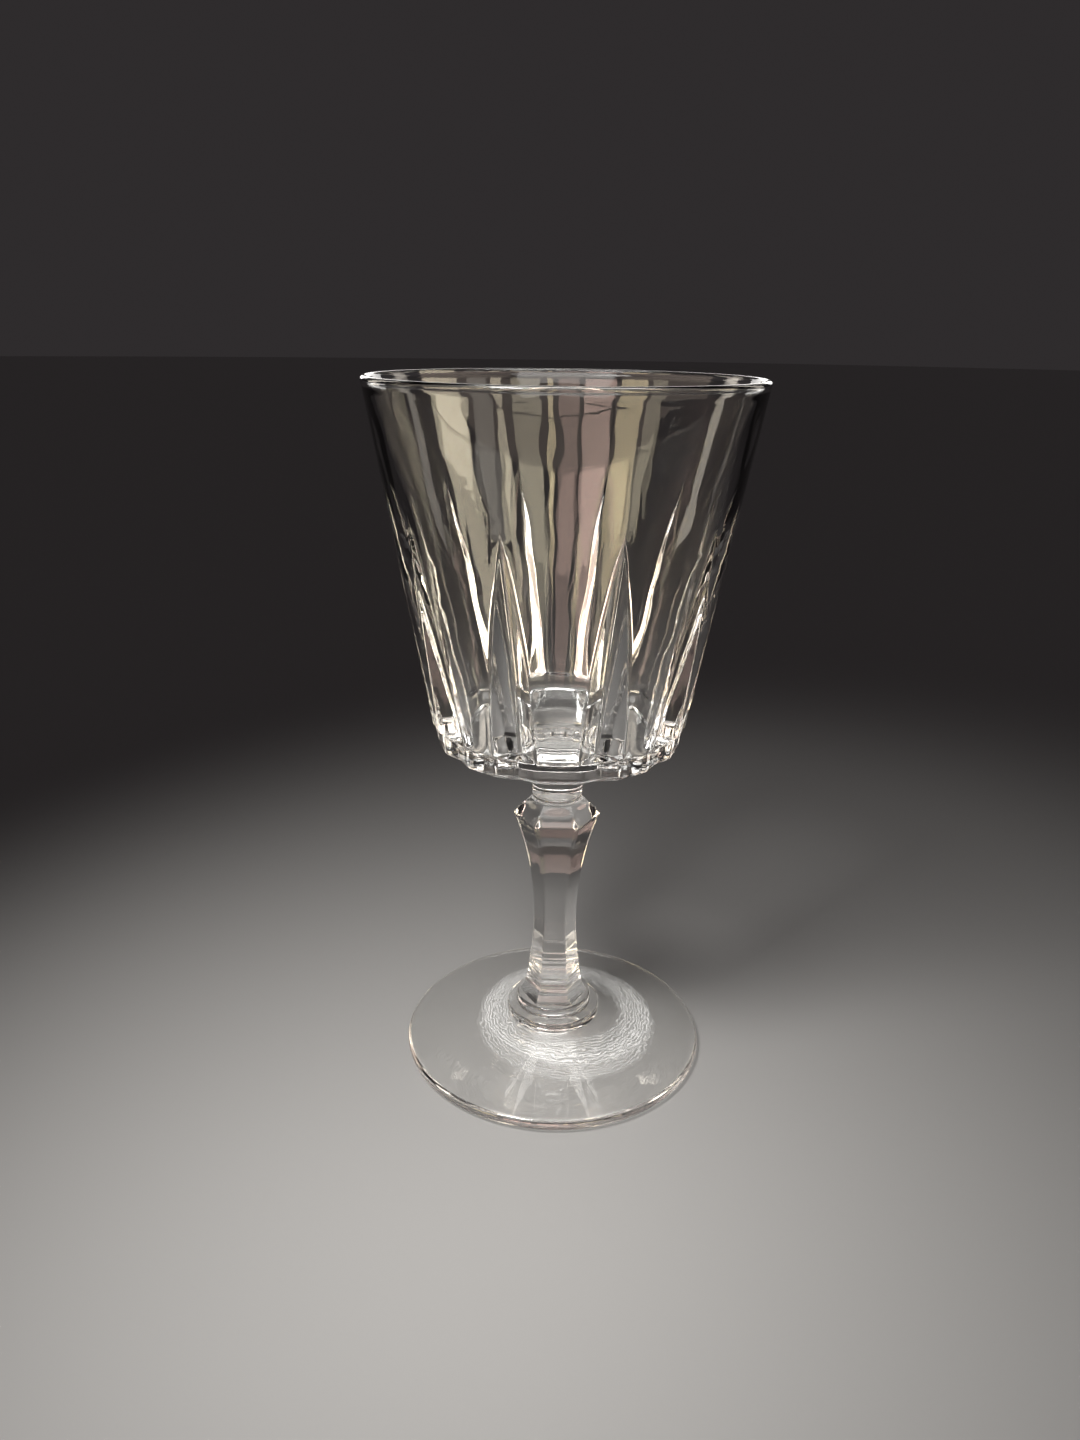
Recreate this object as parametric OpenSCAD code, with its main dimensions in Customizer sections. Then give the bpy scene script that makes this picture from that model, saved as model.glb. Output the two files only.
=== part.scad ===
// Footed wine glass in clear pressed glass: a cone-shaped bowl with pointed flutes
// and a lobed base, a waisted six-sided stem with a knop, and a round foot.
// Millimetres, +Z up, origin at the centre of the foot's resting face. One flat
// facet of the bowl's base and one flat face of the stem look towards -Y.

/* [Overall] */
// Height from the table to the rim
glass_h = 160; // [150:1:172]
// Diameter over the rim
rim_d = 83.4; // [79:0.2:88]
// Diameter over the foot
foot_d = 73; // [68:0.5:80]

/* [Bowl] */
// Height of the bowl's flat underside above the table
bowl_z = 80.6; // [80:0.2:82]
// Diameter of the cone where it meets the base band
bowl_base_d = 57.1; // [56:0.1:58]
// Height of the lobed band under the flutes
band_h = 5; // [4:0.25:6]
// Diameter over the ridges of the lobed band
band_d = 55.2; // [54:0.1:56]
// Depth of the V notches between the lobes
notch_depth = 1.2; // [0.8:0.1:2]
// Number of lobes, and of flutes above the notches
lobes = 10; // [10:2:10]
// Wall thickness at the lip
lip_wall = 1.7; // [1.4:0.1:2.4]
// Wall thickness beside the cavity's floor
heel_wall = 7; // [6.4:0.1:7.6]
// Glass under the cavity
bottom_h = 3.6; // [3:0.1:6]
// Height of the flutes above the band
flute_h = 48; // [44:1:52]
// Depth of each flute where it meets the band
flute_depth = 4.3; // [3.4:0.1:4.5]
// Share of the lobe pitch that a flute spans at the band
flute_span = 0.53; // [0.5:0.01:0.6]

/* [Stem] */
// Height of the seam between neck and stem
seam_z = 66.2; // [66:0.1:66.6]
// Diameter over the corners of the knop
knop_d = 20.4; // [19:0.1:21]
// Diameter over the corners at the waist
waist_d = 10.4; // [9.6:0.1:11.4]
// Diameter over the corners at the stem's lower end
heel_d = 17.2; // [16:0.1:17.4]

/* [Foot] */
// Height of the foot's centre, under the collar
foot_h = 9.6; // [9:0.1:10]
// Thickness of the foot's rounded edge
foot_edge = 3; // [2.4:0.1:3.4]
// Hollow under the middle of the foot
foot_hollow = 1.2; // [0.6:0.1:2]

/* [Hidden] */
eps = 0.01;
fine = 120;
arc_step = 15;

// Bowl
lobe_pitch = 360 / lobes;
front = -90;
ridge_angle = lobe_pitch / 4;
band_top_z = bowl_z + band_h;
rim_r = rim_d / 2;
bowl_base_r = bowl_base_d / 2;
cone_slope = (rim_r - bowl_base_r) / (glass_h - band_top_z);
floor_z = bowl_z + bottom_h;
heel_r = 1.2;
core_r = 23;

// Flutes
flute_power = 1.5;
flute_cuts = [0.1, 0.4, 0.8];
flute_half_angle = flute_span * lobe_pitch / 2;
flute_slope = bowl_base_r * sin(flute_half_angle)
    / (flute_depth - bowl_base_r * (1 - cos(flute_half_angle)));
flute_reach = 14;

// Neck and merese
neck_top_r = 12.5;
neck_r = 5.9;
neck_waist_z = 70.2;
neck_end_r = 5.75;
merese_h = 1;
merese_bulge = 0.25;
neck_steps = 10;

// Stem, as radii over the corners
knop_z = 62;
waist_z = 33.5;
flute_end_z = 22.6;
flute_end_r = 6;
step_z = 19.4;
step_r = 6.4;
stem_z = 13.2;
upper_power = 2.2;
lower_power = 1.8;
shoulder_power = 2.4;
stem_steps = 9;
shoulder_steps = 5;
shoulder_bulge = 0.55;
flat = cos(30);
stem_width = 30;

// Foot and collar
bead_r = 9.1;
bead_z = 12.6;
groove_r = 8.8;
groove_z = 11.8;
step_ring_r = 11;
step_ring_z = 10.5;
fillet_end_r = 15;
fillet_end_z = 8.3;
foot_r = foot_d / 2;
rest_in_r = 27;
foot_steps = 6;

function polar(r, a) = [r * cos(a), r * sin(a)];
function mix(a, b, t) = a + (b - a) * t;
function cone_r(z) = bowl_base_r + cone_slope * (z - band_top_z);

// Radius of a flute's valley at the share t of its height, and how fast the valley
// leans outward there
function valley_r(t) = cone_r(band_top_z + t * flute_h) - flute_depth * (1 - pow(t, flute_power));
function valley_lean(t) = cone_slope + flute_depth * flute_power / flute_h * pow(t, flute_power - 1);

// Points of an arc about [r, z], from angle a to angle b
function arc(r, z, radius, a, b, n = 6) =
    [for (i = [0:n]) [r, z] + polar(radius, mix(a, b, i / n))];

// The cone and its round lip, down to a core inside the band
function cone_outline() = concat(
    [[0, bowl_z + eps], [core_r, bowl_z + eps], [core_r, band_top_z], [bowl_base_r, band_top_z]],
    arc(rim_r - lip_wall / 2, glass_h - lip_wall / 2, lip_wall / 2, 0, 90),
    [[0, glass_h]]);

// The hollow, with a straight wall, a small round heel and a half-round lip, open at the top
function cavity_outline() = concat(
    [[0, floor_z]],
    arc(cone_r(floor_z + heel_r) - heel_wall - heel_r, floor_z + heel_r, heel_r, -90, 0),
    arc(rim_r - lip_wall / 2, glass_h - lip_wall / 2, lip_wall / 2, 180, 90),
    [[rim_r - lip_wall / 2, glass_h + 1], [0, glass_h + 1]]);

function band_outline() = [
    for (k = [0:lobes - 1])
        let (mid = front + k * lobe_pitch)
        for (p = [[-ridge_angle, band_d / 2], [ridge_angle, band_d / 2],
                  [lobe_pitch / 2, band_d / 2 - notch_depth]])
            polar(p[1], mid + p[0])];

// Radius over the stem's corners at height z
function stem_r(z) =
    z >= waist_z ? waist_d / 2 + (knop_d - waist_d) / 2 * pow((z - waist_z) / (knop_z - waist_z), upper_power)
    : z >= flute_end_z ? waist_d / 2
        + (flute_end_r - waist_d / 2) * pow((waist_z - z) / (waist_z - flute_end_z), lower_power)
    : z >= step_z ? mix(step_r, flute_end_r, (z - step_z) / (flute_end_z - step_z))
    : step_r + (heel_d / 2 - step_r) * pow((step_z - z) / (step_z - stem_z), shoulder_power);

function stem_heights() = concat(
    [for (i = [0:4]) mix(stem_z, step_z, i / 4)],
    [for (i = [0:4]) mix(flute_end_z, waist_z, i / 4)],
    [for (i = [1:stem_steps]) mix(waist_z, knop_z, i / stem_steps)]);

// Half of the stem's outline: the shoulder over the knop is a bevel that bulges a little
function stem_side() = concat(
    [for (z = stem_heights()) [stem_r(z), z]],
    [for (i = [1:shoulder_steps])
        let (t = i / shoulder_steps)
        [mix(knop_d / 2, neck_end_r, t) + shoulder_bulge * sin(180 * t), mix(knop_z, seam_z, t)]]);

module revolve(points) {
    rotate_extrude($fn = fine) polygon(points);
}

// One V-shaped flute, deepest at the band and running out to a point above it. Its
// valley bends, so the flute is the common part of straight V cuts that touch the curve.
module flute() {
    intersection_for(t = flute_cuts)
        translate([valley_r(t), 0, band_top_z + t * flute_h])
            rotate([0, atan(valley_lean(t)), 0])
                linear_extrude(3 * flute_h, center = true)
                    polygon([[0, 0], [flute_reach, -flute_reach * flute_slope],
                             [flute_reach, flute_reach * flute_slope]]);
}

module bowl() {
    color("lightcyan")
    difference() {
        union() {
            difference() {
                revolve(cone_outline());
                difference() {
                    for (k = [0:lobes - 1])
                        rotate([0, 0, front + (k + 0.5) * lobe_pitch]) flute();
                    cylinder(h = band_top_z, r = rim_r);
                }
            }
            translate([0, 0, bowl_z]) linear_extrude(band_h) polygon(band_outline());
        }
        revolve(cavity_outline());
    }
}

// Trumpet-shaped link from the bowl's underside down to the seam
module neck() {
    flare = bowl_z - neck_waist_z;
    color("azure")
    revolve(concat(
        [[0, seam_z + merese_h], [neck_end_r - merese_bulge, seam_z + merese_h]],
        [for (i = [0:neck_steps])
            let (a = 90 * i / neck_steps)
            [neck_r + (neck_top_r - neck_r) * (1 - cos(a)), neck_waist_z + flare * sin(a)]],
        [[0, bowl_z]]));
}

// Thin bead of glass round the seam
module merese() {
    color("powderblue")
    revolve(concat(
        [[0, seam_z]],
        [for (a = [-90:arc_step * 2:90])
            [neck_end_r - merese_bulge + merese_bulge * cos(a), seam_z + merese_h / 2 * (1 + sin(a))]],
        [[0, seam_z + merese_h]]));
}

// Six equal faces: the common part of three flat-sided bars
module stem() {
    side = stem_side();
    last = len(side) - 1;
    color("lightblue")
    intersection_for(turn = [0, 60, 120])
        rotate([90, 0, turn + 90])
            linear_extrude(stem_width, center = true)
                polygon(concat(
                    [for (p = side) [p[0] * flat, p[1]]],
                    [for (i = [0:last]) let (p = side[last - i]) [-p[0] * flat, p[1]]]));
}

// Two stepped rings between the stem and the foot
module foot_collar() {
    color("paleturquoise")
    revolve([
        [0, foot_h], [step_ring_r, foot_h], [step_ring_r, step_ring_z],
        [groove_r, groove_z], [bead_r, bead_z], [bead_r - (stem_z - bead_z) / 2, stem_z],
        [0, stem_z]]);
}

// Round foot: hollow fillet under the collar, conical top, round edge, flat resting ring
module foot() {
    edge_r = foot_edge / 2;
    color("aliceblue")
    revolve(concat(
        [[0, foot_hollow]],
        [for (i = [1:foot_steps]) let (t = i / foot_steps) [rest_in_r * t, foot_hollow * (1 - t * t)]],
        arc(foot_r - edge_r, edge_r, edge_r, -90, 75),
        [for (i = [0:foot_steps])
            let (a = 90 * i / foot_steps)
            [mix(fillet_end_r, step_ring_r, sin(a)), mix(foot_h, fillet_end_z, cos(a))]],
        [[0, foot_h]]));
}

bowl();
neck();
merese();
stem();
foot_collar();
foot();
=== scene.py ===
import math

import bpy
import numpy as np
from mathutils import Matrix, Vector, noise


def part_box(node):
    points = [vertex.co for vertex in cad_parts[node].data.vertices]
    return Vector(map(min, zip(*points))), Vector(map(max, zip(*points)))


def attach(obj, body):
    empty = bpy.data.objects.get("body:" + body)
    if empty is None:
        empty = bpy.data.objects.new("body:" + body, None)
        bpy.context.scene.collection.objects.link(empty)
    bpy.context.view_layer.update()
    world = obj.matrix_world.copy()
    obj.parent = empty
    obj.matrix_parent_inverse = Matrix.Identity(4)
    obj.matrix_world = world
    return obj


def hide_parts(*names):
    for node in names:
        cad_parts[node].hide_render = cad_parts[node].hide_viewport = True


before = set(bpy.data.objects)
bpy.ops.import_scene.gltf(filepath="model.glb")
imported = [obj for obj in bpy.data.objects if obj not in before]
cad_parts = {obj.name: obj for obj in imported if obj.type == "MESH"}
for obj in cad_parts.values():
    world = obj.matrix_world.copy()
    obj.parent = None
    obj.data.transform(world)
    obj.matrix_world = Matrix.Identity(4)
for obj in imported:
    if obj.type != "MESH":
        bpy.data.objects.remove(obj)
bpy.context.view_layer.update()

# ---------------------------------------------------------------- sizes
# The outlines below are in millimetres, in the frame of the CAD model.
MM = 0.001


def heights(node):
    """Lowest and highest z of a CAD node, in millimetres."""
    low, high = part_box(node)
    return low.z / MM, high.z / MM


def radius(node):
    """Largest radius of a CAD node, in millimetres."""
    low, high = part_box(node)
    return (high.x - low.x) / 2 / MM


BOWL_Z, RIM_Z = heights("bowl")
SEAM_Z, NECK_Z = heights("merese")
STEM_Z = heights("stem")[0]
FOOT_H = heights("foot")[1]
FOOT_R = radius("foot")
KNOP_R = radius("stem")
NECK_TOP_R = radius("neck")
RIM_R = 41.7
CENTRE_STEPS = (0.33, 0.66)  # rings inside a flat end, as shares of its radius
JOINT_RINGS = (3.0, 6.0, 9.0)  # rings inside the joint of neck and bowl

# Bowl: each flute stands over the notch between two lobes
LOBES = 10
PITCH = math.radians(360 / LOBES)
HALF_PITCH = PITCH / 2
RIDGE = PITCH / 4
FACE_ANGLE = -math.pi / 2
BAND_H = 5.0
BAND_R = 27.6
NOTCH_R = 26.4
BAND_EDGE = 1.3
LEDGE_H = 1.1
CONE_BASE_R = 28.55
FLUTE_H = 48.0
FLUTE_DEPTH = 4.3
FLUTE_POWER = 1.5
FLUTE_SPAN = math.radians(9.6)
LIP_WALL = 1.7
HEEL_WALL = 7.0
BOTTOM_H = 3.6
HEEL_R = 1.2
FLOOR_DOME = 0.3
SOFT_EDGE = 0.3
SOFT_VALLEY = 0.16
SOFT_NOTCH = math.radians(0.6)
SOFT_BAND = SOFT_EDGE * 1.6
NOTCH_REACH = 1.9  # a notch's straight side counts up to this many ridge angles
VALLEY_SHARE = 0.3  # a shallow flute is softened over no more than these shares of its depth
EDGE_SHARE = 0.5
BAND_FLARE = 0.4
TIP_ANGLE = math.radians(0.35)
LIP_BLEND = 0.3

BAND_TOP = BOWL_Z + BAND_H
CONE_SLOPE = (RIM_R - CONE_BASE_R) / (RIM_Z - BAND_TOP)
FLUTE_TOP = BAND_TOP + FLUTE_H
FLOOR_Z = BOWL_Z + BOTTOM_H

# Neck, merese and stem
SEAM_R = 5.5
NECK_R = 5.9
NECK_WAVE = 0.02
NECK_START = 0.8
NECK_WAIST_Z = 70.2
KNOP_Z = 62.0
WAIST_Z = 33.5
WAIST_R = 5.2
HEEL_Z = 22.6
HEEL_END_R = 6.0
STEM_END_R = 8.6
HEX = math.radians(60)
STEM_SOFT = 0.28
STEM_END_SOFT = 0.5
HEEL_SPLIT = (HEEL_Z + 0.4, HEEL_Z + 0.6)  # rings are closer under these heights than over them
SEAM_FLARE = 0.15
ROUND_START = 0.55  # shares of the shoulder: where its six sides start to turn round,
ROUND_SPAN = 0.45  # and over which they do
UPPER_POWER = 2.2
LOWER_POWER = 1.8
SHOULDER_POWER = 2.3
SHOULDER_Z = 18.6
SHOULDER_R = 6.72
SHOULDER_BULGE = 0.55
HEEL_STEPS = ((22.3, 0.16), (20.6, 0.14), (19.5, 0.2), (17.9, 0.22))  # height, growth in radius
STEP_BLEND = 0.8
SEAM_FILLET = 0.35
MERESE_BULGE = 0.25

# Foot and collar
COLLAR_R = 11.0
COLLAR_EDGE = 0.45
COLLAR_BULGE = 0.1
GROOVE_Z = 11.5
GROOVE_EDGE = 0.6
GROOVE_OUT = 0.45
BEAD_R = 9.1
BEAD_EDGE = 0.75
BEAD_INSET = 0.3
FILLET_R = 15.0
FILLET_Z = 8.3
FOOT_EDGE = 3.0
FOOT_HOLLOW = 1.2
REST_IN_R = 27.0

# Chill wrinkles in the foot's top: smooth next to the collar, widest towards +X
WRINKLE_IN = 15.2
WRINKLE_IN_EXTRA = 3.0
WRINKLE_OUT = 20.5
WRINKLE_OUT_EXTRA = 6.5
WRINKLE_PITCH = 1.5
WRINKLE_SIZE = 0.07
WRINKLE_LEAN = 0.12  # how far the wrinkles shift for each millimetre towards +X
WRINKLE_FADE_IN = 5
WRINKLE_FADE_OUT = 4
WRINKLE_BREAK = 0.6  # how much the grain breaks up the wrinkles
# Noise in the wrinkles: size in millimetres, scale per millimetre, place of the slice
OUTER_NOISE = (1.6, 0.35, 7.1)
DRIFT_NOISE = (0.9, 0.22, 2.6)
GRAIN_NOISE = (1.0, 0.9, 5.3)


def mix(a, b, t):
    return a + (b - a) * t


def ease(t):
    t = np.clip(t, 0, 1)
    return t * t * (3 - 2 * t)


def smooth_min(a, b, k):
    """The smaller of a and b, with the corner between them rounded over about k."""
    h = np.maximum(k - np.abs(a - b), 0) / k
    return np.minimum(a, b) - h * h * k / 4


def soft_abs(a, e):
    return np.sqrt(a * a + e * e) - e


def spread(n):
    """n steps from 0 to 1, close together at both ends."""
    return (1 - np.cos(np.linspace(0, math.pi, n + 1))) / 2


# ---------------------------------------------------------------- meshes
def lathe(name, rings, joint_rings):
    """A closed mesh from rings of points, each (n, 3) in millimetres, closed at both poles.

    Strips of faces whose index is in joint_rings take the second material."""
    count = len(rings[0])
    points = [np.array([[0, 0, rings[0][:, 2].mean()]])] + list(rings)
    points.append(np.array([[0, 0, rings[-1][:, 2].mean()]]))
    verts = np.concatenate(points) * MM
    last = len(verts) - 1
    faces, marks = [], []
    for j in range(count):
        k = (j + 1) % count
        faces.append((0, 1 + k, 1 + j))
        marks.append(0 in joint_rings)
    for i in range(len(rings) - 1):
        a, b = 1 + i * count, 1 + (i + 1) * count
        for j in range(count):
            k = (j + 1) % count
            faces.append((a + j, a + k, b + k, b + j))
            marks.append(i + 1 in joint_rings)
    a = 1 + (len(rings) - 1) * count
    for j in range(count):
        k = (j + 1) % count
        faces.append((a + j, a + k, last))
        marks.append(len(rings) in joint_rings)
    mesh = bpy.data.meshes.new(name)
    mesh.from_pydata([tuple(v) for v in verts], [], faces)
    mesh.polygons.foreach_set("use_smooth", [True] * len(faces))
    mesh.polygons.foreach_set("material_index", [int(m) for m in marks])
    mesh.update()
    obj = bpy.data.objects.new(name, mesh)
    bpy.context.scene.collection.objects.link(obj)
    return obj


def ring(angles, radii, z):
    out = np.empty((len(angles), 3))
    out[:, 0] = radii * np.cos(angles)
    out[:, 1] = radii * np.sin(angles)
    out[:, 2] = z
    return out


def arc_points(r, z, size, a, b, n):
    """(r, z) points of an arc about (r, z), from angle a to b in degrees."""
    return [(r + size * math.cos(math.radians(mix(a, b, i / n))),
             z + size * math.sin(math.radians(mix(a, b, i / n)))) for i in range(n + 1)]


# ---------------------------------------------------------------- bowl
VALLEY_STEPS = 9  # points across a flute's side
PANEL_STEPS = 8  # points from a flute's edge to the middle of the panel beside it
LEDGE_STEPS = 10
FLUTE_STEPS = 100
CONE_STEPS = 16
WALL_STEPS = 59
RIPPLED_WALL = 47  # steps of the inside wall that ripple, from the top
OUTER_RIPPLE = 0.05
SIDE_RIPPLE = 0.12
INNER_RIPPLE = 0.08
RIPPLE_FADE = 6  # rings over which a ripple fades in and out
FINE_SIZE = 0.5  # the finer half of a ripple, against the coarser one
FINE_ACROSS = 2.3
FINE_ALONG = 4
MIN_DIVISOR = 0.2


def cone_r(z):
    return CONE_BASE_R + CONE_SLOPE * (z - BAND_TOP)


def wall(z):
    """Thickness of the bowl's wall at height z, greatest at the cavity's heel."""
    return mix(LIP_WALL, HEEL_WALL, (RIM_Z - z) / (RIM_Z - FLOOR_Z - HEEL_R))


def flute_depth(z):
    """Depth of a flute's valley under the cone, greatest at the band."""
    t = np.clip((FLUTE_TOP - z) / FLUTE_H, 0, 1)
    return FLUTE_DEPTH * (1 - (1 - t) ** FLUTE_POWER)


# Depth a flute's side gains for each millimetre across
FLUTE_COT = (
    FLUTE_DEPTH - CONE_BASE_R * (1 - math.cos(FLUTE_SPAN))) / (CONE_BASE_R * math.sin(FLUTE_SPAN))


def flute_half_angle(z):
    """Angle from a flute's valley to its edge, where its side meets the cone."""
    r, d = cone_r(z), flute_depth(z)
    lean = math.atan(FLUTE_COT)
    return math.acos(min(1, (r - d) / r * math.cos(lean))) - lean


def lobe_angles(edge):
    """Signed angles over one lobe pitch, counted from its notch, with a point at edge on each side."""
    half = np.concatenate([
        edge * spread(VALLEY_STEPS), edge + (HALF_PITCH - edge) * spread(PANEL_STEPS)[1:]])
    return np.concatenate([-half[:0:-1], half[:-1]])


def whole_turn(edge):
    """Angles round the bowl, and each one's angle from its nearest notch."""
    local = lobe_angles(edge)
    turns = FACE_ANGLE + HALF_PITCH + PITCH * np.arange(LOBES)
    return (turns[:, None] + local[None, :]).ravel(), np.tile(local, LOBES)


def band_r(a, grow=0.0):
    """Radius of the lobed band at angle a from a notch."""
    side = soft_abs(a, SOFT_NOTCH)
    ridge_r = BAND_R + grow
    notch = (NOTCH_R + grow) * ridge_r * math.sin(RIDGE) / (
        (NOTCH_R + grow) * np.sin(side) + ridge_r * np.sin(RIDGE - side))
    facet = ridge_r * math.cos(RIDGE) / np.cos(HALF_PITCH - np.abs(a))
    rising = np.where(side < RIDGE * NOTCH_REACH, notch, BAND_R * 2)
    return smooth_min(rising, facet, SOFT_BAND)


def flute_r(a, z):
    """Radius of the fluted cone at angle a from a flute's valley."""
    r, d = cone_r(z), flute_depth(z)
    soft = min(SOFT_VALLEY, d * VALLEY_SHARE)
    run = soft_abs(np.sin(a), soft / r)
    side = (r - d) / np.maximum(np.cos(a) - FLUTE_COT * run, MIN_DIVISOR)
    return smooth_min(side, r, min(SOFT_EDGE, d * EDGE_SHARE + 1e-4))


def bowl_rings():
    """The bowl's rings from under its base, over the lip and down inside, the joint's strips of
    faces, and the index of the first ring of each zone."""
    rings, joints, first = [], [], {}
    ridge_turn, ridge_local = whole_turn(RIDGE)
    # underside, out to the band's rounded lower edge
    for r in JOINT_RINGS + (NECK_TOP_R,):
        rings.append(ring(ridge_turn, r, BOWL_Z))
    joints += [0, 1, 2, 3]
    for t in (0.25, 0.5, 0.75):
        r = mix(NECK_TOP_R, band_r(ridge_local) - BAND_EDGE, t)
        rings.append(ring(ridge_turn, r, BOWL_Z))
    for r, z in arc_points(-BAND_EDGE, BAND_EDGE, BAND_EDGE, -90, 0, 8):
        rings.append(ring(ridge_turn, band_r(ridge_local) + r, BOWL_Z + z))
    ledge_z = BAND_TOP - BAND_FLARE
    for t in np.linspace(0, 1, 6)[1:]:
        z = mix(BOWL_Z + BAND_EDGE, ledge_z, t)
        rings.append(ring(ridge_turn, band_r(ridge_local, BAND_FLARE * t), z))
    # ledge from the band to the flutes
    first["ledge"] = len(rings)
    for t in np.linspace(0, 1, LEDGE_STEPS + 1)[1:]:
        z = mix(ledge_z, ledge_z + LEDGE_H, t)
        turn, local = whole_turn(mix(RIDGE, flute_half_angle(BAND_TOP), ease(t)))
        r = mix(band_r(local, BAND_FLARE), flute_r(local, max(z, BAND_TOP)), ease(t))
        rings.append(ring(turn, r, z))
    # flutes
    first["flutes"] = len(rings)
    for t in np.linspace(0, 1, FLUTE_STEPS + 1)[1:]:
        z = mix(ledge_z + LEDGE_H, FLUTE_TOP, t)
        turn, local = whole_turn(max(flute_half_angle(z), TIP_ANGLE))
        rings.append(ring(turn, flute_r(local, z), z))
    # plain cone up to the lip
    first["cone"] = len(rings)
    lip = LIP_WALL / 2
    for t in np.linspace(0, 1, CONE_STEPS + 1)[1:]:
        z = mix(FLUTE_TOP, RIM_Z - lip - LIP_BLEND, t)
        turn, local = whole_turn(mix(TIP_ANGLE, RIDGE, ease(t)))
        rings.append(ring(turn, cone_r(z), z))
    # half-round lip
    first["lip"] = len(rings)
    for r, z in arc_points(RIM_R - lip, RIM_Z - lip, lip, 0, 180, 14):
        rings.append(ring(ridge_turn, r, z))
    # inside wall, its rounded heel and the slightly domed floor
    first["wall"] = len(rings)
    heel_z = FLOOR_Z + HEEL_R
    for t in np.linspace(0, 1, WALL_STEPS + 1)[1:]:
        z = mix(RIM_Z - lip, heel_z, t)
        rings.append(ring(ridge_turn, cone_r(z) - wall(z), z))
    heel_in = cone_r(heel_z) - wall(heel_z) - HEEL_R
    for r, z in arc_points(heel_in, heel_z, HEEL_R, 0, -90, 12)[1:]:
        rings.append(ring(ridge_turn, r, z))
    for t in np.linspace(1, 0, 12)[1:-1]:
        rings.append(ring(ridge_turn, heel_in * t, FLOOR_Z + FLOOR_DOME * ease(1 - t)))
    return rings, joints, first


def ripple(rings, start, stop, size, seed, across=0.10, along=0.03, sides=0):
    """Pushes the rings from start to stop in and out a little: the wavy surface of pressed glass.

    A larger value of sides keeps the ripple to the parts that look towards +X and -X."""
    for i in range(start, stop):
        fade = min(1.0, (i - start) / RIPPLE_FADE, (stop - 1 - i) / RIPPLE_FADE)
        points = rings[i]
        r = np.hypot(points[:, 0], points[:, 1])
        push = np.array([
            noise.noise(Vector((x * across, y * across, z * along + seed)))
            + FINE_SIZE * noise.noise(Vector((
                x * across * FINE_ACROSS, y * across * FINE_ACROSS, z * along * FINE_ALONG + seed)))
            for x, y, z in points])
        push *= np.abs(points[:, 0] / np.maximum(r, 1)) ** sides
        scale = 1 + fade * size * push / np.maximum(r, 1)
        points[:, 0] *= scale
        points[:, 1] *= scale


def make_bowl():
    rings, joints, first = bowl_rings()
    ripple(rings, first["ledge"] + LEDGE_STEPS // 2, first["lip"], OUTER_RIPPLE, seed=3.7)
    ripple(rings, first["flutes"] - 1, first["cone"], SIDE_RIPPLE, seed=8.4,
           across=0.25, along=0.3, sides=5)
    ripple(rings, first["wall"] - 1, first["wall"] + RIPPLED_WALL, INNER_RIPPLE, seed=11.2)
    return lathe("bowl_glass", rings, joints)


# ---------------------------------------------------------------- neck, merese, stem
ROUND_STEPS = 128  # points round the neck and the merese


def even_turn(n=ROUND_STEPS):
    return FACE_ANGLE + np.linspace(0, 2 * math.pi, n, endpoint=False)


def make_neck():
    turn = even_turn()
    outline = [(t * SEAM_R, NECK_Z) for t in CENTRE_STEPS + (1.0,)]
    outline += arc_points(SEAM_R, NECK_Z + SEAM_FILLET, SEAM_FILLET, -90, 20, 5)[1:]
    for i in range(1, 5):
        z = mix(NECK_Z + NECK_START, NECK_WAIST_Z, i / 4)
        outline.append((NECK_R + NECK_WAVE * math.cos(i), z))
    flare = BOWL_Z - NECK_WAIST_Z
    for i in range(1, 25):
        a = math.radians(90 * i / 24)
        r = NECK_R + (NECK_TOP_R - NECK_R) * (1 - math.cos(a))
        outline.append((r, NECK_WAIST_Z + flare * math.sin(a)))
    outline += [(r, BOWL_Z) for r in reversed(JOINT_RINGS)]
    rings = [ring(turn, r, z) for r, z in outline]
    n = len(rings)
    return lathe("neck_glass", rings, [0, 1, 2, n - 3, n - 2, n - 1, n])


def make_merese():
    turn = even_turn()
    half = (NECK_Z - SEAM_Z) / 2
    outline = [(t * SEAM_R, SEAM_Z) for t in CENTRE_STEPS]
    for degrees in range(-90, 91, 15):
        a = math.radians(degrees)
        outline.append((SEAM_R + MERESE_BULGE * math.cos(a), SEAM_Z + half * (1 + math.sin(a))))
    outline += [(t * SEAM_R, NECK_Z) for t in reversed(CENTRE_STEPS)]
    rings = [ring(turn, r, z) for r, z in outline]
    n = len(rings)
    return lathe("merese_glass", rings, [0, 1, 2, n - 2, n - 1, n])


def hex_r(angles, corner, soft):
    """Radius of a hexagon with rounded corners and a flat face towards -Y."""
    local = (angles - FACE_ANGLE + HEX / 2) % HEX - HEX / 2
    flat = corner * math.cos(HEX / 2)
    near = flat / np.cos(local)
    other = flat / np.cos(HEX - np.abs(local))
    return smooth_min(near, other, soft)


def stem_corner(z):
    """Radius of the stem over its corners at height z, up to the knop's ridge."""
    if z >= WAIST_Z:
        return WAIST_R + (KNOP_R - WAIST_R) * ((z - WAIST_Z) / (KNOP_Z - WAIST_Z)) ** UPPER_POWER
    if z >= HEEL_Z:
        return WAIST_R + (HEEL_END_R - WAIST_R) * ((WAIST_Z - z) / (WAIST_Z - HEEL_Z)) ** LOWER_POWER
    r = HEEL_END_R
    for step_z, grow in HEEL_STEPS:
        r += grow * float(ease((step_z + STEP_BLEND / 2 - z) / STEP_BLEND))
    t = np.clip((SHOULDER_Z - z) / (SHOULDER_Z - STEM_Z), 0, 1)
    return r + (STEM_END_R - SHOULDER_R) * t ** SHOULDER_POWER


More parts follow.
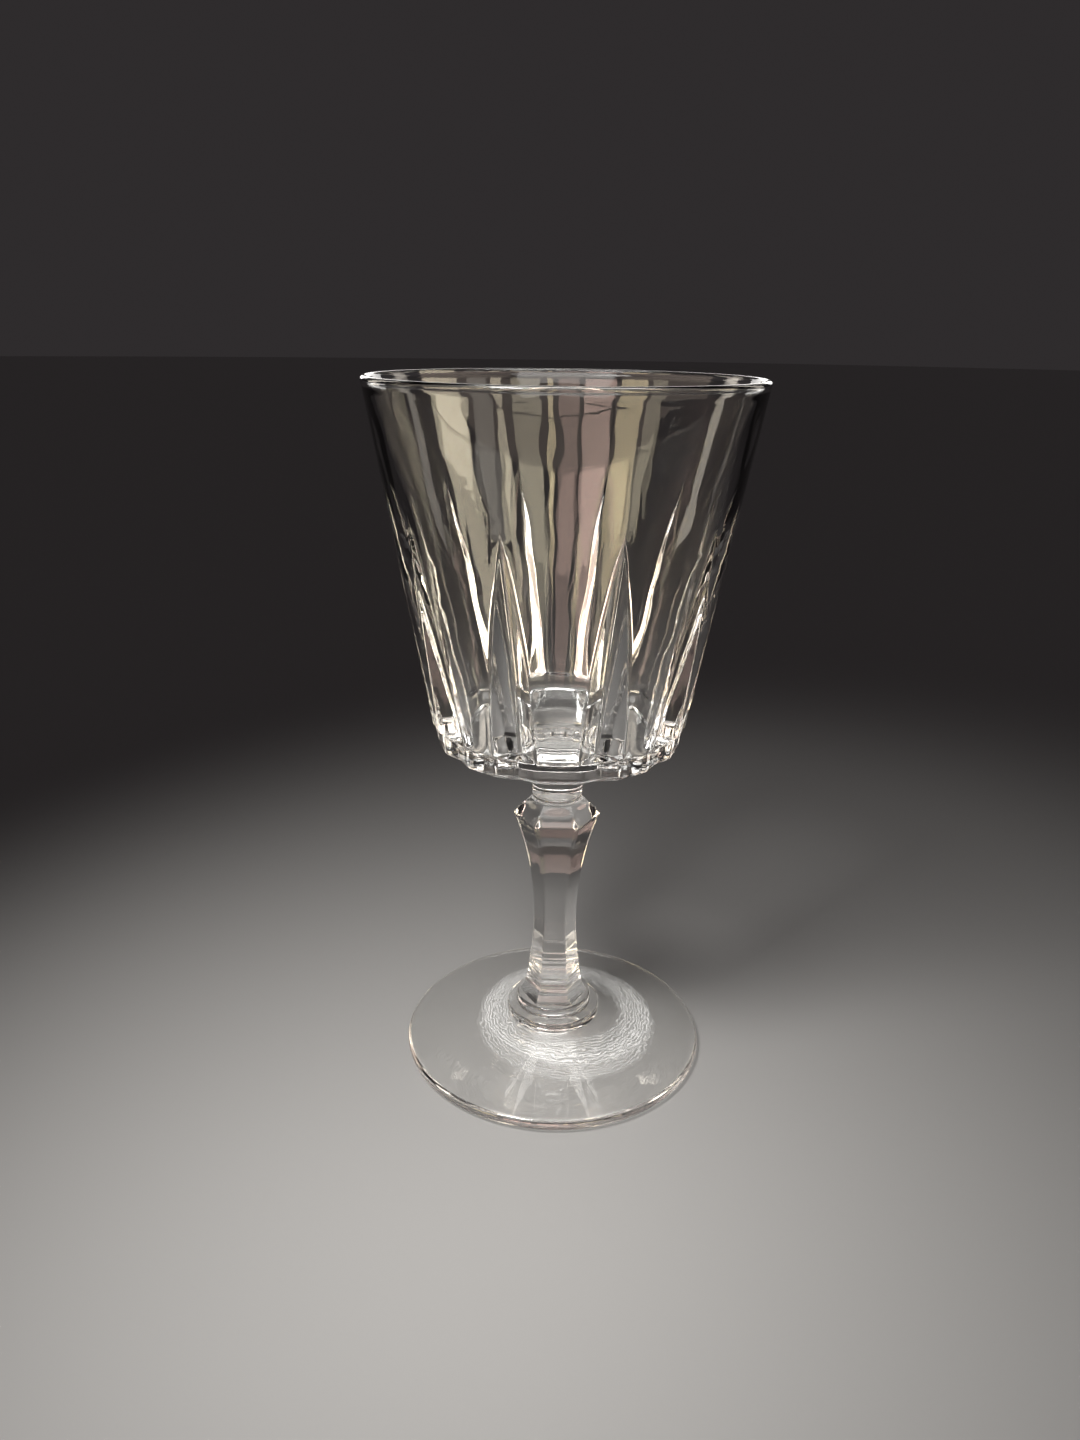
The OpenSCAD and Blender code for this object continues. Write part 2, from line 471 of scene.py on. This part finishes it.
def make_stem():
    half = spread(10) * (HEX / 2)
    local = np.concatenate([-half[:0:-1], half[:-1]])
    turn = (FACE_ANGLE + HEX * np.arange(6)[:, None] + local[None, :]).ravel()
    rings = [ring(turn, hex_r(turn, STEM_END_R * t, STEM_END_SOFT), STEM_Z) for t in CENTRE_STEPS]
    levels = np.concatenate([
        np.linspace(STEM_Z, HEEL_SPLIT[0], 64), np.linspace(HEEL_SPLIT[1], KNOP_Z, 66)])
    for z in levels:
        rings.append(ring(turn, hex_r(turn, stem_corner(z), STEM_SOFT), z))
    for t in np.linspace(0, 1, 15)[1:]:
        z = mix(KNOP_Z, SEAM_Z, t)
        corner = mix(KNOP_R, SEAM_R + SEAM_FLARE, t) + SHOULDER_BULGE * math.sin(math.pi * t)
        roundness = ease((t - ROUND_START) / ROUND_SPAN)
        r = mix(hex_r(turn, corner, STEM_SOFT), corner, roundness)
        rings.append(ring(turn, r, z))
    rings += [ring(turn, SEAM_R * t, SEAM_Z) for t in (1.0,) + CENTRE_STEPS[::-1]]
    n = len(rings)
    return lathe("stem_glass", rings, [0, 1, 2, n - 2, n - 1, n])


# ---------------------------------------------------------------- collar and foot
COLLAR_STEPS = 120
FOOT_STEPS = 360


def make_collar():
    turn = even_turn(COLLAR_STEPS)
    outline = [(COLLAR_R * t, FOOT_H) for t in CENTRE_STEPS + (1.0,)]
    outline += arc_points(COLLAR_R - COLLAR_BULGE, FOOT_H + COLLAR_EDGE, COLLAR_EDGE, -60, 80, 8)
    outline += arc_points(BEAD_R + GROOVE_OUT, GROOVE_Z, GROOVE_EDGE, -100, -180, 6)
    outline += arc_points(BEAD_R - BEAD_EDGE, STEM_Z - BEAD_EDGE, BEAD_EDGE, 0, 90, 8)
    rings = [ring(turn, r, z) for r, z in outline]
    for t in (1.0,) + CENTRE_STEPS[::-1]:
        inset = BEAD_INSET if t == 1 else 0
        rings.append(ring(turn, hex_r(turn, STEM_END_R * t, STEM_END_SOFT) - inset, STEM_Z))
    n = len(rings)
    return lathe("foot_collar_glass", rings, [0, 1, 2, n - 2, n - 1, n])


def slice_noise(x, y, settings):
    """Smooth noise at (x, y), from its size, its scale and the place of its slice."""
    size, scale, place = settings
    return size * noise.noise(Vector((x * scale, y * scale, place)))


def wrinkle(x, y):
    """Height of the chill wrinkles at (x, y) on the foot's top."""
    r = math.hypot(x, y)
    side = (1 + x / max(r, 1)) / 2
    inner = WRINKLE_IN + WRINKLE_IN_EXTRA * side
    outer = WRINKLE_OUT + WRINKLE_OUT_EXTRA * (2 * side - 1)
    outer += slice_noise(x, y, OUTER_NOISE)
    if not inner < r < outer:
        return 0.0
    t = (r - inner) / (outer - inner)
    window = min(1.0, t * WRINKLE_FADE_IN, (1 - t) * WRINKLE_FADE_OUT)
    phase = r - WRINKLE_LEAN * x + slice_noise(x, y, DRIFT_NOISE)
    wave = math.sin(2 * math.pi * phase / WRINKLE_PITCH)
    grain = slice_noise(x, y, GRAIN_NOISE)
    return WRINKLE_SIZE * window * (wave * (WRINKLE_BREAK + WRINKLE_BREAK * grain) + grain)


def make_foot():
    turn = even_turn(FOOT_STEPS)
    edge = FOOT_EDGE / 2
    outline = [(REST_IN_R * t, FOOT_HOLLOW * (1 - t * t)) for t in np.linspace(0, 1, 24)[1:]]
    outline += [(mix(REST_IN_R, FOOT_R - edge, t), 0.0) for t in (0.3, 0.6, 0.9)]
    outline += arc_points(FOOT_R - edge, edge, edge, -90, 75, 16)
    r0, z0 = outline[-1]
    first_wrinkled = len(outline)
    outline += [(mix(r0, FILLET_R, t), mix(z0, FILLET_Z, t)) for t in np.linspace(0, 1, 100)[1:]]
    last_wrinkled = len(outline)
    for i in range(1, 13):
        a = math.radians(90 * i / 12)
        outline.append((mix(FILLET_R, COLLAR_R, math.sin(a)), mix(FOOT_H, FILLET_Z, math.cos(a))))
    outline += [(COLLAR_R * t, FOOT_H) for t in reversed(CENTRE_STEPS)]
    rings = [ring(turn, r, z) for r, z in outline]
    for points in rings[first_wrinkled:last_wrinkled]:
        points[:, 2] += [wrinkle(x, y) for x, y, z in points]
    n = len(rings)
    return lathe("foot_glass", rings, [n - 2, n - 1, n])


# ---------------------------------------------------------------- materials
GLASS_IOR = 1.52
BOWL_TINT = (0.985, 0.985, 0.975)
STEM_TINT = (0.98, 0.975, 0.965)
FOOT_TINT = (0.985, 0.985, 0.98)
WAVE_SCALE = 160
WAVE_STRENGTH = 0.02
WAVE_DEPTH = 0.5
SMUDGE_SCALE = 70
SMUDGE_RANGE = (0.5, 0.8)  # noise values where the smudges start and are at their strongest
SMUDGE_ROUGHNESS = 0.05
SHADOW_EDGE = 0.35  # how early the shadow darkens where the glass is seen edge on
SHADOW_CLEAR = (0.97, 0.97, 0.97, 1)
SHADOW_DARK = (0.35, 0.35, 0.35, 1)
# Chill marks: rings in millimetres about a point off the axis
CHILL_SHIFT = 3.5
CHILL_IN = 14.2
CHILL_OUT = 23.0
CHILL_SCALE = 40  # radius at the end of the colour ramp
CHILL_PITCH = 0.75
CHILL_WOBBLE = 2.6
CHILL_WHITE = 0.36
CHILL_GRAIN = 420
CHILL_GAP = -0.6  # sine of the rings' wave under which the glass stays clear
CHILL_ZONE = (  # radius, share of the whiteness
    (CHILL_IN, 0), (CHILL_IN + 1, 0.75), (CHILL_OUT - 1.2, 1), (CHILL_OUT, 0))
BLACK = (0, 0, 0, 1)


def new_material(name):
    material = bpy.data.materials.new(name)
    material.use_nodes = True
    tree = material.node_tree
    return material, tree, tree.nodes["Principled BSDF"]


def math_node(tree, operation, *inputs):
    """A Math node; each input is a number or a socket. Returns its result's socket."""
    node = tree.nodes.new("ShaderNodeMath")
    node.operation = operation
    for i, value in enumerate(inputs):
        if isinstance(value, (int, float)):
            node.inputs[i].default_value = value
        else:
            tree.links.new(value, node.inputs[i])
    return node.outputs["Value"]


def map_range(tree, value, from_min, from_max, to_max):
    """Takes from_min..from_max to 0..to_max."""
    node = tree.nodes.new("ShaderNodeMapRange")
    node.inputs["From Min"].default_value = from_min
    node.inputs["From Max"].default_value = from_max
    node.inputs["To Min"].default_value = 0
    node.inputs["To Max"].default_value = to_max
    tree.links.new(value, node.inputs["Value"])
    return node.outputs["Result"]


def noise_node(tree, place, scale, detail):
    node = tree.nodes.new("ShaderNodeTexNoise")
    node.inputs["Scale"].default_value = scale
    node.inputs["Detail"].default_value = detail
    tree.links.new(place.outputs["Object"], node.inputs["Vector"])
    return node.outputs["Fac"]


def glass(name, tint):
    """Clear pressed glass: fine surface waves, and faint smudges in the roughness."""
    material, tree, shader = new_material(name)
    shader.inputs["Base Color"].default_value = (*tint, 1)
    shader.inputs["Transmission Weight"].default_value = 1
    shader.inputs["IOR"].default_value = GLASS_IOR
    place = tree.nodes.new("ShaderNodeTexCoord")
    bumps = tree.nodes.new("ShaderNodeBump")
    bumps.inputs["Strength"].default_value = WAVE_STRENGTH
    bumps.inputs["Distance"].default_value = WAVE_DEPTH * MM
    tree.links.new(noise_node(tree, place, WAVE_SCALE, 2), bumps.inputs["Height"])
    tree.links.new(bumps.outputs["Normal"], shader.inputs["Normal"])
    smudge_noise = noise_node(tree, place, SMUDGE_SCALE, 5)
    smudges = map_range(tree, smudge_noise, *SMUDGE_RANGE, SMUDGE_ROUGHNESS)
    tree.links.new(smudges, shader.inputs["Roughness"])
    # lamps reach what is behind the glass, less so where it is seen edge on
    edge = tree.nodes.new("ShaderNodeLayerWeight")
    edge.inputs["Blend"].default_value = SHADOW_EDGE
    shade = tree.nodes.new("ShaderNodeMix")
    shade.data_type = "RGBA"
    shade.inputs["A"].default_value = SHADOW_CLEAR
    shade.inputs["B"].default_value = SHADOW_DARK
    tree.links.new(edge.outputs["Facing"], shade.inputs["Factor"])
    clear = tree.nodes.new("ShaderNodeBsdfTransparent")
    tree.links.new(shade.outputs["Result"], clear.inputs["Color"])
    path = tree.nodes.new("ShaderNodeLightPath")
    mixer = tree.nodes.new("ShaderNodeMixShader")
    tree.links.new(path.outputs["Is Shadow Ray"], mixer.inputs["Fac"])
    tree.links.new(shader.outputs["BSDF"], mixer.inputs[1])
    tree.links.new(clear.outputs["BSDF"], mixer.inputs[2])
    tree.links.new(mixer.outputs["Shader"], tree.nodes["Material Output"].inputs["Surface"])
    return material


def chill(material):
    """Whitish chill marks on the foot's top: broken rings, off centre towards +X."""
    tree = material.node_tree
    shader = tree.nodes["Principled BSDF"]
    place = tree.nodes.new("ShaderNodeTexCoord")
    shift = tree.nodes.new("ShaderNodeMapping")
    shift.inputs["Location"].default_value = (-CHILL_SHIFT * MM, 0, 0)
    tree.links.new(place.outputs["Object"], shift.inputs["Vector"])
    flat = tree.nodes.new("ShaderNodeVectorMath")
    flat.operation = "MULTIPLY"
    flat.inputs[1].default_value = (1, 1, 0)
    tree.links.new(shift.outputs["Vector"], flat.inputs[0])
    length = tree.nodes.new("ShaderNodeVectorMath")
    length.operation = "LENGTH"
    tree.links.new(flat.outputs["Vector"], length.inputs[0])
    grain = noise_node(tree, place, CHILL_GRAIN, 3)
    wobble = math_node(tree, "MULTIPLY_ADD", grain, CHILL_WOBBLE * MM, length.outputs["Value"])
    zone = tree.nodes.new("ShaderNodeValToRGB")
    for element, position in zip(zone.color_ramp.elements, (0, 1)):
        element.position = position
        element.color = BLACK
    for r, level in CHILL_ZONE:
        element = zone.color_ramp.elements.new(r / CHILL_SCALE)
        element.color = (level, level, level, 1)
    tree.links.new(math_node(tree, "DIVIDE", wobble, CHILL_SCALE * MM), zone.inputs["Fac"])
    turns = math_node(tree, "MULTIPLY", wobble, 2 * math.pi / (CHILL_PITCH * MM))
    white = map_range(tree, math_node(tree, "SINE", turns), CHILL_GAP, 1, CHILL_WHITE)
    amount = math_node(tree, "MULTIPLY", white, zone.outputs["Color"])
    tree.links.new(math_node(tree, "SUBTRACT", 1, amount), shader.inputs["Transmission Weight"])


def fused(name):
    """The hidden faces where two pieces are fused: light passes straight through."""
    material, tree, _ = new_material(name)
    clear = tree.nodes.new("ShaderNodeBsdfTransparent")
    tree.links.new(clear.outputs["BSDF"], tree.nodes["Material Output"].inputs["Surface"])
    return material


joint_glass = fused("fused_joint")
bowl_glass = glass("bowl_glass", BOWL_TINT)
stem_glass = glass("stem_glass", STEM_TINT)
foot_glass = glass("foot_glass", FOOT_TINT)
chilled_glass = glass("foot_glass_chilled", FOOT_TINT)
chill(chilled_glass)

pieces = []
for piece, node, slot, material in (
        (make_bowl(), "bowl", "bowl_glass", bowl_glass),
        (make_neck(), "neck", "stem_glass", stem_glass),
        (make_merese(), "merese", "stem_glass", stem_glass),
        (make_stem(), "stem", "stem_glass", stem_glass),
        (make_collar(), "foot_collar", "foot_glass", foot_glass),
        (make_foot(), "foot", "foot_glass", chilled_glass)):
    piece.data.materials.append(material)
    piece.data.materials.append(joint_glass)
    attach(piece, "root")
    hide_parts(node)
    pieces.append(piece)

# ---------------------------------------------------------------- stage
scene = bpy.context.scene
FLOOR_GAP = -0.0002  # the floor lies just under the foot
FLOOR_R = 6
FLOOR_GREY = (0.62, 0.61, 0.60, 1)
FLOOR_ROUGHNESS = 0.55

CREAM = (1.0, 0.88, 0.66)
GOLD = (1.0, 0.82, 0.52)
GREY = (0.90, 0.82, 0.72)
PINK = (1.0, 0.70, 0.60)
PEACH = (1.0, 0.80, 0.66)
WHITE = (1.0, 0.98, 0.95)
ROOM = (0.028, 0.025, 0.026, 1)

# Pool of light on the floor
POOL_PLACE = (-0.12, -0.16, 0.36)
POOL_TARGET = (0.0, -0.05, 0)
POOL_SIZE = 0.10
POOL_SPREAD = math.radians(64)
POOL_POWER = 0.16

# Upright cards of light round the glass
CARD_POWER = 22  # watts per square metre of a card at brightness 1
STRIP_DISTANCE = 0.9
STRIP_LOW = 0.10
STRIP_HIGH = 0.80
CARD_HIGH = 0.42
STRIPS = (  # name, azimuth towards +X from -Y, angular width, brightness, colour, low, high
    ("strip_right", 88, 28, 1.0, CREAM, STRIP_LOW, CARD_HIGH),
    ("strip_right_grey", 60, 14, 0.32, GREY, STRIP_LOW, CARD_HIGH),
    ("strip_right_thin", 46, 7, 0.9, CREAM, STRIP_LOW, CARD_HIGH),
    ("strip_right_soft", 26, 20, 0.5, CREAM, STRIP_LOW, CARD_HIGH),
    ("strip_middle_thin", 10, 3, 1.0, GOLD, STRIP_LOW, CARD_HIGH),
    ("strip_middle", -2, 14, 0.45, PINK, STRIP_LOW, CARD_HIGH),
    ("strip_left_pink", -23, 20, 0.85, PINK, STRIP_LOW, CARD_HIGH),
    ("strip_left", -46, 18, 1.0, GOLD, STRIP_LOW, CARD_HIGH),
    ("strip_left_end", -64, 12, 0.4, CREAM, STRIP_LOW, CARD_HIGH),
    ("strip_back_right", 128, 12, 0.3, GREY, STRIP_LOW, STRIP_HIGH),
    ("strip_back_left", -128, 12, 0.5, GREY, STRIP_LOW, STRIP_HIGH),
    ("card_upper", 0, 70, 0.12, PEACH, CARD_HIGH, STRIP_HIGH),
    ("card_right", 72, 72, 0.13, PEACH, CARD_HIGH, STRIP_HIGH),
    ("card_left", -72, 72, 0.13, PEACH, CARD_HIGH, STRIP_HIGH),
)

# Cards behind the bowl, overhead and high in front
BACK_LOW = 0.22
BACK_HIGH = 0.42
BACK_WIDTH = 1.0
BACK_BRIGHTNESS = 0.4
TOP_PLACE = (0, -0.05, 1.1)
TOP_TARGET = (0, 0, 0.1)
TOP_WIDTH = 0.9
TOP_DEPTH = 0.7
TOP_BRIGHTNESS = 0.9
FRONT_PLACE = (0, -0.72, 0.72)
FRONT_TARGET = (0, 0, 0.05)
FRONT_WIDTH = 1.0
FRONT_DEPTH = 0.36
FRONT_BRIGHTNESS = 0.35


def floor():
    bpy.ops.mesh.primitive_circle_add(
        vertices=96, radius=FLOOR_R, fill_type="NGON", location=(0, 0, FLOOR_GAP))
    disc = bpy.context.object
    disc.name = "floor"
    material, _, shader = new_material("pale_floor")
    shader.inputs["Base Color"].default_value = FLOOR_GREY
    shader.inputs["Roughness"].default_value = FLOOR_ROUGHNESS
    disc.data.materials.append(material)


def area(name, place, target, width, height, power, colour):
    data = bpy.data.lights.new(name, "AREA")
    data.shape = "RECTANGLE"
    data.size = width
    data.size_y = height
    data.energy = power
    data.color = colour
    light = bpy.data.objects.new(name, data)
    light.location = place
    light.rotation_euler = (Vector(target) - Vector(place)).to_track_quat("-Z", "Y").to_euler()
    light.visible_camera = False
    scene.collection.objects.link(light)
    return light


def card(name, place, target, width, height, brightness, colour, lit):
    """An evenly bright card of light that lights only the pieces in the collection lit."""
    power = CARD_POWER * brightness * width * height
    light = area(name, place, target, width, height, power, colour)
    light.light_linking.receiver_collection = lit
    return light


def only_reflected(light):
    """The light is seen in reflections only, not straight through the glass."""
    light.data.use_nodes = True
    tree = light.data.node_tree
    path = tree.nodes.new("ShaderNodeLightPath")
    once = math_node(tree, "MINIMUM", path.outputs["Glossy Depth"], 1)
    tree.links.new(once, tree.nodes["Emission"].inputs["Strength"])


floor()
lit_pieces = bpy.data.collections.new("lit_by_strips")
for piece in pieces:
    lit_pieces.objects.link(piece)
lit_bowl = bpy.data.collections.new("lit_from_behind")
lit_bowl.objects.link(pieces[0])

pool = area("pool", POOL_PLACE, POOL_TARGET, POOL_SIZE, POOL_SIZE, POOL_POWER, WHITE)
pool.data.spread = POOL_SPREAD
for name, azimuth, span, brightness, colour, low, high in STRIPS:
    a = math.radians(azimuth)
    width = 2 * STRIP_DISTANCE * math.tan(math.radians(span) / 2)
    middle = (high + low) / 2
    place = (STRIP_DISTANCE * math.sin(a), -STRIP_DISTANCE * math.cos(a), middle)
    only_reflected(card(
        name, place, (0, 0, middle), width, high - low, brightness, colour, lit_pieces))
back_middle = (BACK_LOW + BACK_HIGH) / 2
back_card = card("back_card", (0, STRIP_DISTANCE, back_middle), (0, 0, back_middle),
                 BACK_WIDTH, BACK_HIGH - BACK_LOW, BACK_BRIGHTNESS, WHITE, lit_bowl)
back_card.visible_transmission = False
card("overhead", TOP_PLACE, TOP_TARGET, TOP_WIDTH, TOP_DEPTH, TOP_BRIGHTNESS, WHITE, lit_pieces)
card("front_high", FRONT_PLACE, FRONT_TARGET, FRONT_WIDTH, FRONT_DEPTH, FRONT_BRIGHTNESS, WHITE,
     lit_pieces)

world = bpy.data.worlds.new("studio")
world.use_nodes = True
world.node_tree.nodes["Background"].inputs["Color"].default_value = ROOM
world.node_tree.nodes["Background"].inputs["Strength"].default_value = 1
scene.world = world

# ---------------------------------------------------------------- camera
CAMERA_BACK = 0.2289
CAMERA_UP = 0.1693
CAMERA_PITCH = 20.2
CAMERA_YAW = 1.07
CAMERA_ROLL = 0.77
SENSOR_HEIGHT = 36
LENS = 26.7

camera_data = bpy.data.cameras.new("camera")
camera = bpy.data.objects.new("camera", camera_data)
camera_data.sensor_fit = "VERTICAL"
camera_data.sensor_height = SENSOR_HEIGHT
camera_data.lens = LENS
camera_data.clip_start = 0.01
aim = Matrix.Rotation(math.radians(CAMERA_YAW), 3, "Z")
tilt = Matrix.Rotation(math.radians(90 - CAMERA_PITCH), 3, "X")
roll = Matrix.Rotation(math.radians(CAMERA_ROLL), 3, "Z")
camera.location = (0, -CAMERA_BACK, CAMERA_UP)
camera.rotation_euler = (aim @ tilt @ roll).to_euler()
scene.collection.objects.link(camera)
scene.camera = camera

scene.view_settings.view_transform = "Standard"
scene.cycles.caustics_refractive = False
scene.cycles.caustics_reflective = False
scene.cycles.max_bounces = 24
scene.cycles.transmission_bounces = 24
scene.cycles.glossy_bounces = 8
scene.cycles.transparent_max_bounces = 16
